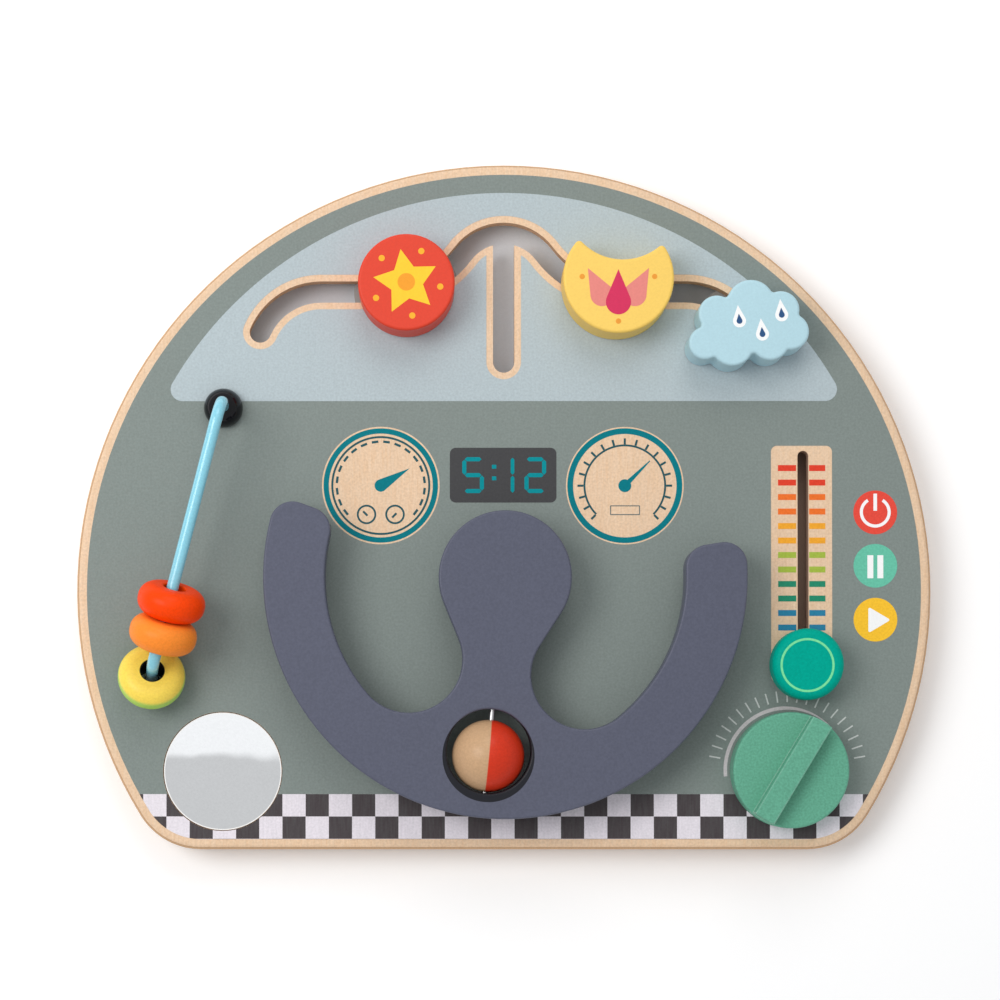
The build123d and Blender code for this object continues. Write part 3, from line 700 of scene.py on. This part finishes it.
class BUSYBOARD_OT_face_paint(bpy.types.Operator):
    """Print the face: the grey green ground, the window and the chequered strip"""

    bl_idname = "busyboard.face_paint"
    bl_label = "Face paint"

    def execute(self, context):
        tones = prints()
        slot_edge = umbrella_loop(SLOT_HALF + tones.slot_border)
        bare = [slot_edge, ring(*LEFT_GAUGE, GAUGE_R), ring(*RIGHT_GAUGE, GAUGE_R),
                block(*FADER_PANEL, PANEL_CORNER), ring(*MIRROR_HOLE), ring(*WHEEL_AXLE), ring(*DIAL_AXLE)]
        ink = look("face_paint", print_look(tuple(tones.paint)))
        flat_print("face_paint", [board_loop(tones.border), *bare], 0, ink)
        window = [self.window_loop(tones), slot_edge]
        flat_print("window_print", window, 1, look("window_print", print_look(tuple(tones.window))))
        self.checks(tones)
        return {"FINISHED"}

    def window_loop(self, tones):
        """The part of a disc over the window's straight side, with rounded corners."""
        corner_y = tones.window_base + WINDOW_CORNER
        reach = tones.window_radius - WINDOW_CORNER
        turn = math.degrees(math.asin((corner_y - tones.window_rise) / reach))
        corner_x = reach * math.cos(math.radians(turn))
        return (arc(0, tones.window_rise, tones.window_radius, turn, 180 - 2 * turn, 90)
                + arc(-corner_x, corner_y, WINDOW_CORNER, 180 - turn, 90 + turn, 14)
                + arc(corner_x, corner_y, WINDOW_CORNER, -90, 90 + turn, 14))

    def checks(self, tones):
        """The strip of squares along the foot, cut from the ground's own outline."""
        loops = [board_loop(tones.border), ring(*MIRROR_HOLE)]
        strip = flat_print("checker_print", loops, 1, look("checker_print", check_look))
        work = bmesh.new()
        work.from_mesh(strip.data)
        top = (0.0, DOME_Y + CHECK_TOP, 0.0)
        bmesh.ops.bisect_plane(work, geom=work.verts[:] + work.edges[:] + work.faces[:], plane_co=top,
                               plane_no=(0.0, 1.0, 0.0), clear_outer=True)
        bmesh.ops.holes_fill(work, edges=[e for e in work.edges if e.is_boundary])
        bmesh.ops.recalc_face_normals(work, faces=work.faces)
        work.to_mesh(strip.data)
        work.free()


class BUSYBOARD_OT_gauges(bpy.types.Operator):
    """Print the two round gauges"""

    bl_idname = "busyboard.gauges"
    bl_label = "Gauges"

    def execute(self, context):
        teal = look("teal_print", print_look(tuple(prints().teal), specular=0.08))
        lines = look("gauge_lines", print_look(tuple(prints().gauge_lines)))
        self.left(teal, lines)
        self.right(teal, lines)
        return {"FINISHED"}

    def left(self, teal, lines):
        spot = (LEFT_GAUGE[0], DOME_Y + LEFT_GAUGE[1])
        flat_print("left_gauge_ring", hoop(0, 0, 0.0241, 0.0219), 0, teal, place=spot)
        flat_print("left_gauge_inner_ring", hoop(0, 0, 0.02085, 0.02000), 0, lines, place=spot)
        flat_print("left_gauge_needle", [drop(0, 0, 0.0026, 0.0141, LEFT_NEEDLE)], 0, teal, place=spot)
        for side, x in (("left", -SMALL_GAUGE_X), ("right", SMALL_GAUGE_X)):
            small = hoop(x, SMALL_GAUGE_Y, 0.0041, 0.0033)
            flat_print(f"left_gauge_small_{side}", small, 0, lines, place=spot)
        dashes = [(*polar(DASH_R, a), 0.0028, 0.0010, a + 90, 0) for a in marks(-37.5, GAUGE_STEP, 18)]
        dashes += [(-0.0065, -0.0118, 0.0026, 0.0009, 135, 0), (0.0057, -0.0126, 0.0026, 0.0009, 45, 0)]
        bars_print("left_gauge_dashes", dashes, 0, [lines], place=spot)

    def right(self, teal, lines):
        spot = (RIGHT_GAUGE[0], DOME_Y + RIGHT_GAUGE[1])
        flat_print("right_gauge_ring", hoop(0, 0, 0.0242, 0.0218), 0, teal, place=spot)
        sweep = arc(0, 0, 0.0174, -45, 270) + arc(0, 0, 0.0166, 225, -270)
        flat_print("right_gauge_arc", [sweep], 0, lines, place=spot)
        turn = Matrix.Rotation(math.radians(RIGHT_NEEDLE), 2)
        taper = ((0.0020, -0.0010), (0.0149, -0.0002), (0.0149, 0.0002), (0.0020, 0.0010))
        needle = [tuple(turn @ Vector(p)) for p in taper]
        flat_print("right_gauge_needle", [needle], 0, teal, place=spot)
        flat_print("right_gauge_hub", [ring(0, 0, 0.0027)], 1, teal, place=spot)
        ticks = [(*polar(TICK_R, a), 0.0025, 0.0009, a, 0) for a in marks(-45, GAUGE_STEP, 19)]
        bars_print("right_gauge_ticks", ticks, 0, [lines], place=spot)
        counter = [block(-0.0062, -0.0124, 0.0064, -0.0083, 0.0003),
                   block(-0.0058, -0.0120, 0.0060, -0.0087, 0.0001)]
        grey = look("grey_print", print_look(srgb(96, 112, 112)))
        flat_print("right_gauge_counter", counter, 0, grey, place=spot)


class BUSYBOARD_OT_clock(bpy.types.Operator):
    """Print the clock: a dark panel with plain digits"""

    bl_idname = "busyboard.clock"
    bl_label = "Clock"

    def execute(self, context):
        tones = prints()
        flat_print("clock_panel", [block(*CLOCK_PANEL, PANEL_CORNER)], 1,
                   look("clock_panel", print_look(tuple(tones.dark))))
        strokes = self.digit(-0.0129, "afgcd") + self.digit(0.0133, "abged")
        strokes += [self.stroke(0.0037, y, 0.0072, 0.0016, 90) for y in (0.0525, 0.0449)]
        strokes += [block(-0.0050, y - 0.00085, -0.0031, y + 0.00085, 0.0002) for y in (0.0523, 0.0474)]
        ink = look("digit_print", print_look(tuple(tones.digits), specular=0.08))
        flat_print("clock_digits", strokes, 2, ink)
        return {"FINISHED"}

    def stroke(self, x, y, long, wide, heading):
        """One stroke with pointed ends, lying on its heading."""
        turn = Matrix.Rotation(math.radians(heading), 2)
        flat, half = (long - wide) / 2, wide / 2
        return [tuple(Vector((x, y)) + turn @ Vector(p)) for p in
                ((long / 2, 0), (flat, half), (-flat, half), (-long / 2, 0), (-flat, -half), (flat, -half))]

    def digit(self, x, strokes):
        """Strokes of one seven-stroke figure, lettered a to g from the top clockwise."""
        across, rise, line, middle, gap = 0.0074, 0.0067, 0.0018, 0.04875, 0.0003
        spots = {"a": (0, 1, 0), "g": (0, 0, 0), "d": (0, -1, 0),
                 "f": (-1, 0.5, 90), "b": (1, 0.5, 90), "e": (-1, -0.5, 90), "c": (1, -0.5, 90)}
        return [self.stroke(x + spots[s][0] * across / 2, middle + spots[s][1] * rise,
                            (rise if spots[s][2] else across) - gap, line, spots[s][2]) for s in strokes]


class BUSYBOARD_OT_fader_scale(bpy.types.Operator):
    """Print the rows of coloured bars beside the fader's slot"""

    bl_idname = "busyboard.fader_scale"
    bl_label = "Fader scale"

    def execute(self, context):
        tones = ((226, 66, 44), (240, 116, 46), (243, 168, 50),
                 (166, 188, 72), (38, 140, 108), (44, 130, 166))
        inks = [look(f"bar_print_{i}", print_look(srgb(*tone), specular=0.10))
                for i, tone in enumerate(tones)]
        columns = ((0.1193, 0.0076), (0.1320, 0.0068))  # middle and length of the bars on each side
        bars = []
        for row in range(BAR_ROWS):
            y = BAR_TOP - BAR_PITCH * row
            bars += [(x, y, long, 0.0025, 0, row // 2) for x, long in columns]
        bars_print("fader_bars", bars, 0, inks)
        return {"FINISHED"}


class BUSYBOARD_OT_buttons(bpy.types.Operator):
    """Print the three round buttons at the right"""

    bl_idname = "busyboard.buttons"
    bl_label = "Buttons"

    def execute(self, context):
        white = look("white_print", print_look((1.0, 1.0, 1.0), specks=0.02))
        for name, tone, y in (("power", (234, 74, 58), 0.0330), ("pause", (104, 196, 168), 0.0105),
                              ("play", (255, 198, 44), -0.0122)):
            flat_print(f"{name}_button", [ring(BUTTON_X, y, BUTTON_R)], 1,
                       look(f"{name}_button", print_look(srgb(*tone))))
        power = arc(BUTTON_X, POWER_Y, 0.0065, 122, 296) + arc(BUTTON_X, POWER_Y, 0.0052, 418, -296)
        flat_print("power_sign", [power], 2, white)
        corners = ((-0.0024, 0.0045, 60), (-0.0024, -0.0045, 180), (0.0052, 0.0, -60))
        play = [p for x, y, start in corners for p in arc(BUTTON_X + x, PLAY_Y + y, 0.0006, start, 120, 6)]
        flat_print("play_sign", [play], 2, white)
        bars = [(BUTTON_X, POWER_Y + 0.0042, 0.0015, 0.0072, 0, 0)]
        bars += [(BUTTON_X + x, PAUSE_Y, 0.0025, 0.0097, 0, 0) for x in (-0.0021, 0.0021)]
        bars_print("button_bars", bars, 2, [white])
        return {"FINISHED"}


class BUSYBOARD_OT_dial_scale(bpy.types.Operator):
    """Print the ticks and the tapering arc round the dial"""

    bl_idname = "busyboard.dial_scale"
    bl_label = "Dial scale"

    def execute(self, context):
        grey = look("line_print", print_look(tuple(prints().line_grey)))
        x, y = DIAL_SPOT
        ticks = [(*polar(DIAL_TICK_R, a, x, y), 0.0047, 0.0006, a, 0) for a in marks(10, 8, 21)]
        bars_print("dial_ticks", ticks, 1, [grey])
        outer, inner = [], []
        for turn in range(186, 44, -3):
            share = min(1.0, (turn - 43) / 52)
            radius = DIAL_ARC_R + 0.0010 * share
            outer.append(polar(radius, turn, x, y))
            inner.append(polar(radius - 0.0002 - 0.0013 * share, turn, x, y))
        flat_print("dial_arc", [outer + inner[::-1]], 1, look("arc_print", print_look(srgb(206, 198, 201))))
        return {"FINISHED"}


class BUSYBOARD_OT_sliders(bpy.types.Operator):
    """Paint the three sliders and print plain motifs on their faces"""

    bl_idname = "busyboard.sliders"
    bl_label = "Sliders"

    def execute(self, context):
        tones = paints()
        for name, tone in (("round", tones.red), ("crescent", tones.yellow), ("cloud", tones.cloud)):
            dress(look(f"{name}_paint", paint_look(tuple(tone), specks=0.03)), f"{name}_slider_knob")
            retainer = f"{name}_slider_retainer"
            grey = ply_look(srgb(150, 144, 140), retainer, 1, coat_face=srgb(164, 160, 158))
            dress(look("grey_ply", grey), retainer)
            dress(beech(), f"{name}_slider_post")
            dress(steel(), f"{name}_slider_screw")
        self.star()
        self.tulip()
        self.drops()
        return {"FINISHED"}

    def motif(self, name, part, loops, level, tone):
        """A print on a knob's face, drawn from the middle of the knob's post."""
        slot = {"round": "red_paint", "crescent": "yellow_paint", "cloud": "cloud_paint"}[name]
        ink = look(f"{part}_print", print_look(srgb(*tone), specks=0.03))
        flat_print(f"{name}_{part}", loops, level, ink, slot=slot, body=f"{name}_knob",
                   base=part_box(f"{name}_slider_knob")[1][2], place=middle_of(f"{name}_slider_post")[:2])

    def star(self):
        points = [polar(0.0070 if i % 2 else 0.0138, 100 + 36 * i) for i in range(10)]
        self.motif("round", "star", [points], 0, (252, 205, 48))
        self.motif("round", "star_middle", [ring(0, 0, 0.0036)], 1, (246, 160, 40))
        dots = [ring(*polar(0.0142, 136 + 72 * i), 0.0013) for i in range(5)]
        self.motif("round", "star_dots", dots, 0, (248, 178, 44))

    def tulip(self):
        petals = [drop(side * 0.0068, -0.0045, 0.0048, 0.0125, 90 - side * 28) for side in (-1, 1)]
        self.motif("crescent", "petals", petals, 0, (232, 136, 128))
        self.motif("crescent", "middle_petal", [drop(0.0, -0.0075, 0.0052, 0.0135, 90)], 1, (214, 46, 92))
        seeds = [ring(x, y, 0.0011) for x, y in ((-0.0150, 0.0030), (0.0150, 0.0030), (0.0, -0.0155))]
        self.motif("crescent", "seeds", seeds, 0, (238, 156, 54))

    def drops(self):
        spots = ((-0.0055, 0.0015), (0.0040, -0.0040), (0.0120, 0.0040))
        rain = [drop(x, y, 0.0027, 0.0066, 96) for x, y in spots]
        self.motif("cloud", "rain", rain, 0, (252, 253, 253))
        middles = [drop(x, y, 0.0012, 0.0030, 96) for x, y in spots]
        self.motif("cloud", "rain_middle", middles, 1, (42, 84, 132))


class BUSYBOARD_OT_steering(bpy.types.Operator):
    """Paint the steering wheel and its ball, and finish the axle behind it"""

    bl_idname = "busyboard.steering"
    bl_label = "Steering wheel"

    def execute(self, context):
        tones = paints()
        low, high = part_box("spinner_ball")
        middle = middle_of("spinner_ball")
        # the wheel's paint is darkened in and round the ball's hole as painted shade
        shaded_hole = (*middle[:2], (high[0] - low[0]) / 2 + BALL_SHADE_REACH)
        # the wheel's edges are painted paler, partly as wear and partly as painted highlight
        wheel = paint_look(tuple(tones.wheel), rough=0.38, grain=0.00003, edge_wear_and_highlight=0.16, shaded_hole=shaded_hole)
        dress(look("wheel_paint", wheel), "steering_wheel", "wheel_spacer")
        dress(beech(), "wheel_axle")
        dress(look("birch_ply_retainer", ply_look(tuple(tones.birch), "wheel_retainer", 3)), "wheel_retainer")
        dress(steel(), "wheel_screw", "spinner_pin")
        across = (*polar(1.0, WHEEL_TILT), 0.0)
        halves = two_tone_look(srgb(213, 55, 28), srgb(200, 163, 126), middle, across, rough=0.36)
        dress(look("ball_paint", halves), "spinner_ball")
        return {"FINISHED"}


class BUSYBOARD_OT_fader(bpy.types.Operator):
    """Paint the fader's knob, print its ring and finish the runner behind it"""

    bl_idname = "busyboard.fader"
    bl_label = "Fader"

    def execute(self, context):
        dress(look("fader_paint", paint_look(tuple(paints().fader), specular=0.03)), "fader_knob")
        dress(beech(), "fader_runner")
        dress(steel(), "fader_screw")
        x, y = middle_of("fader_knob")[:2]
        ink = look("fader_ring", print_look(srgb(124, 226, 160)))
        flat_print("fader_ring", hoop(0, 0, 0.0112, 0.0103), 0, ink, slot="fader_paint", body="fader",
                   base=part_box("fader_knob")[1][2], place=(x - 0.0007, y - 0.0005))
        return {"FINISHED"}


class BUSYBOARD_OT_dial(bpy.types.Operator):
    """Paint the dial's knob and finish the axle behind it"""

    bl_idname = "busyboard.dial"
    bl_label = "Dial"

    def execute(self, context):
        # the dial's edges are painted paler, partly as wear and partly as painted highlight
        dress(look("dial_paint", paint_look(tuple(paints().dial), edge_wear_and_highlight=0.22, specks=0.13)), "dial_knob")
        dress(beech(), "dial_axle")
        dress(steel(), "dial_washer", "dial_screw")
        return {"FINISHED"}


class BUSYBOARD_OT_bead_run(bpy.types.Operator):
    """Finish the bead wire, its caps and the three beads"""

    bl_idname = "busyboard.bead_run"
    bl_label = "Bead run"

    def execute(self, context):
        tones = paints()
        dress(look("wire_paint", gloss_look(tuple(tones.wire), 0.22, coat=0.7, specular=0.35)), "bead_wire")
        black = gloss_look((0.006, 0.006, 0.008), 0.10, scuff=0.02, coat=0.15, specular=0.2)
        dress(look("black_plastic", black), "wire_top_cap", "wire_foot_cap")
        for bead, tone in (("red_bead", tones.bead_red), ("orange_bead", tones.bead_orange)):
            dress(look(bead, gloss_look(tuple(tone), 0.38, coat=0.05, specular=0.10)), bead)
        joint = next(j for j in frame["joints"] if j["name"] == "yellow_bead_spin")
        axis = Vector(joint["axis"]).normalized()
        seam = Vector(middle_of("yellow_bead")) + axis * BEAD_SEAM
        # the hole radius paints the inside of the bead's hole dark as shade
        halves = two_tone_look(tuple(tones.bead_yellow), tuple(tones.bead_green), tuple(seam), tuple(axis),
                               soft=0.0008, hole=BEAD_HOLE_R)
        dress(look("yellow_bead", halves), "yellow_bead")
        return {"FINISHED"}


class BUSYBOARD_OT_mirror(bpy.types.Operator):
    """Finish the mirror and the pad behind it"""

    bl_idname = "busyboard.mirror"
    bl_label = "Mirror"

    def execute(self, context):
        dress(look("mirror", mirror_look), "mirror_disc")
        dress(look("foam", foam_look), "mirror_pad")
        return {"FINISHED"}


class BUSYBOARD_OT_back_screws(bpy.types.Operator):
    """Finish the screws in the back"""

    bl_idname = "busyboard.back_screws"
    bl_label = "Back screws"

    def execute(self, context):
        dress(steel(), "back_screws")
        return {"FINISHED"}


class BUSYBOARD_OT_stage(bpy.types.Operator):
    """Lay the pale floor, light it softly and set the camera"""

    bl_idname = "busyboard.stage"
    bl_label = "Stage"

    def execute(self, context):
        settings = context.scene.busy_board_stage
        self.floor(settings)
        self.card()
        self.light(context, settings)
        self.camera(context, settings)
        context.scene.view_settings.view_transform = "Standard"
        return {"FINISHED"}

    def floor(self, settings):
        made = Look("floor", 0.85)
        body = made.shade(tuple(settings.floor), 0.01, made.noise(400.0, 3.0))
        ray = made.node("LightPath").outputs
        glossy = made.math("MAXIMUM", ray["Is Glossy Ray"], ray["Is Transmission Ray"])
        seen = made.math("MAXIMUM", ray["Is Camera Ray"], glossy)
        white = made.range(seen, 0.0, 1.0, 1.0, 1.14)
        made.colour(made.mix(1.0, body, white, "MULTIPLY"))
        floor = self.sheet("floor", made.material, FLOOR_REACH, (0.0, 0.0), FLOOR_Z)

    def card(self):
        """A pale card overhead that only glossy surfaces see, so that the mirror has something to show."""
        made = Look("card", 1.0)
        waves = made.range(made.noise(14.0, 2.0), 0.0, 1.0, -0.012, 0.012)
        level = made.math("ADD", made.part(made.spot, "Y"), waves)
        strength = made.range(level, CARD_EDGE - 0.003, CARD_EDGE + 0.003, *CARD_LEVELS)
        glow = made.node("Emission", {"Strength": strength})
        made.tree.links.new(glow.outputs[0], made.tree.nodes["Material Output"].inputs["Surface"])
        glow.inputs["Color"].default_value = (0.965, 0.98, 1.0, 1.0)
        card = self.sheet("card", made.material, CARD_REACH, CARD_MIDDLE, CARD_Z)
        for kind in ("camera", "diffuse", "transmission", "volume_scatter", "shadow"):
            setattr(card, "visible_" + kind, False)

    def sheet(self, name, material, reach, middle, height):
        """A level square of the stage, reaching as far to each side of its middle."""
        work = bmesh.new()
        bmesh.ops.create_grid(work, x_segments=1, y_segments=1, size=reach)
        bmesh.ops.translate(work, verts=work.verts, vec=(*middle, 0.0))
        mesh = bpy.data.meshes.new(name)
        work.to_mesh(mesh)
        work.free()
        mesh.materials.append(material)
        sheet = bpy.data.objects.new(name, mesh)
        bpy.context.scene.collection.objects.link(sheet)
        sheet.location.z = height
        return sheet

    def light(self, context, settings):
        world = bpy.data.worlds.new("soft_white")
        world.use_nodes = True
        back = world.node_tree.nodes["Background"]
        back.inputs["Color"].default_value = (0.97, 0.985, 1.0, 1.0)
        back.inputs["Strength"].default_value = settings.fill
        context.scene.world = world
        for name, power, place in (("key", settings.key, KEY_PLACE), ("top_light", settings.top, TOP_PLACE)):
            lamp = bpy.data.lights.new(name, "AREA")
            lamp.shape = "DISK"
            lamp.size = LAMP_SIZE
            lamp.energy = power
            lamp.color = (1.0, 0.985, 0.965)
            light = bpy.data.objects.new(name, lamp)
            context.scene.collection.objects.link(light)
            light.location = place
            light.rotation_euler = (-light.location).to_track_quat("-Z", "Y").to_euler()

    def camera(self, context, settings):
        lens = bpy.data.cameras.new("camera")
        lens.sensor_width = 36.0
        lens.lens = LENS
        lens.shift_x, lens.shift_y = LENS_SHIFT
        camera = bpy.data.objects.new("camera", lens)
        context.scene.collection.objects.link(camera)
        camera.location = (*CAMERA_XY, FACE_Z + settings.camera_height)
        camera.rotation_euler = (*(math.radians(turn) for turn in CAMERA_TURN), 0.0)
        context.scene.camera = camera


STEPS = (
    BUSYBOARD_OT_board_wood, BUSYBOARD_OT_face_paint, BUSYBOARD_OT_gauges, BUSYBOARD_OT_clock,
    BUSYBOARD_OT_fader_scale, BUSYBOARD_OT_buttons, BUSYBOARD_OT_dial_scale, BUSYBOARD_OT_sliders,
    BUSYBOARD_OT_steering, BUSYBOARD_OT_fader, BUSYBOARD_OT_dial, BUSYBOARD_OT_bead_run,
    BUSYBOARD_OT_mirror, BUSYBOARD_OT_back_screws, BUSYBOARD_OT_stage,
)


class BUSYBOARD_PT_panel(bpy.types.Panel):
    """Lists the steps that finish the board"""

    bl_idname = "BUSYBOARD_PT_panel"
    bl_label = "Busy board"
    bl_space_type = "VIEW_3D"
    bl_region_type = "UI"
    bl_category = "Busy board"

    def draw(self, context):
        for step in STEPS:
            self.layout.operator(step.bl_idname)


SETTINGS = {
    "busy_board_prints": BusyBoardPrintSettings,
    "busy_board_paints": BusyBoardPaintSettings,
    "busy_board_stage": BusyBoardStageSettings,
}


def register():
    for name, group in SETTINGS.items():
        bpy.utils.register_class(group)
        setattr(bpy.types.Scene, name, bpy.props.PointerProperty(type=group))
    for step in (*STEPS, BUSYBOARD_PT_panel):
        bpy.utils.register_class(step)


def unregister():
    for step in (BUSYBOARD_PT_panel, *reversed(STEPS)):
        bpy.utils.unregister_class(step)
    for name, group in SETTINGS.items():
        delattr(bpy.types.Scene, name)
        bpy.utils.unregister_class(group)


def main():
    register()
    for step in STEPS:
        group, call = step.bl_idname.split(".")
        getattr(getattr(bpy.ops, group), call)()


if __name__ == "__main__":
    main()
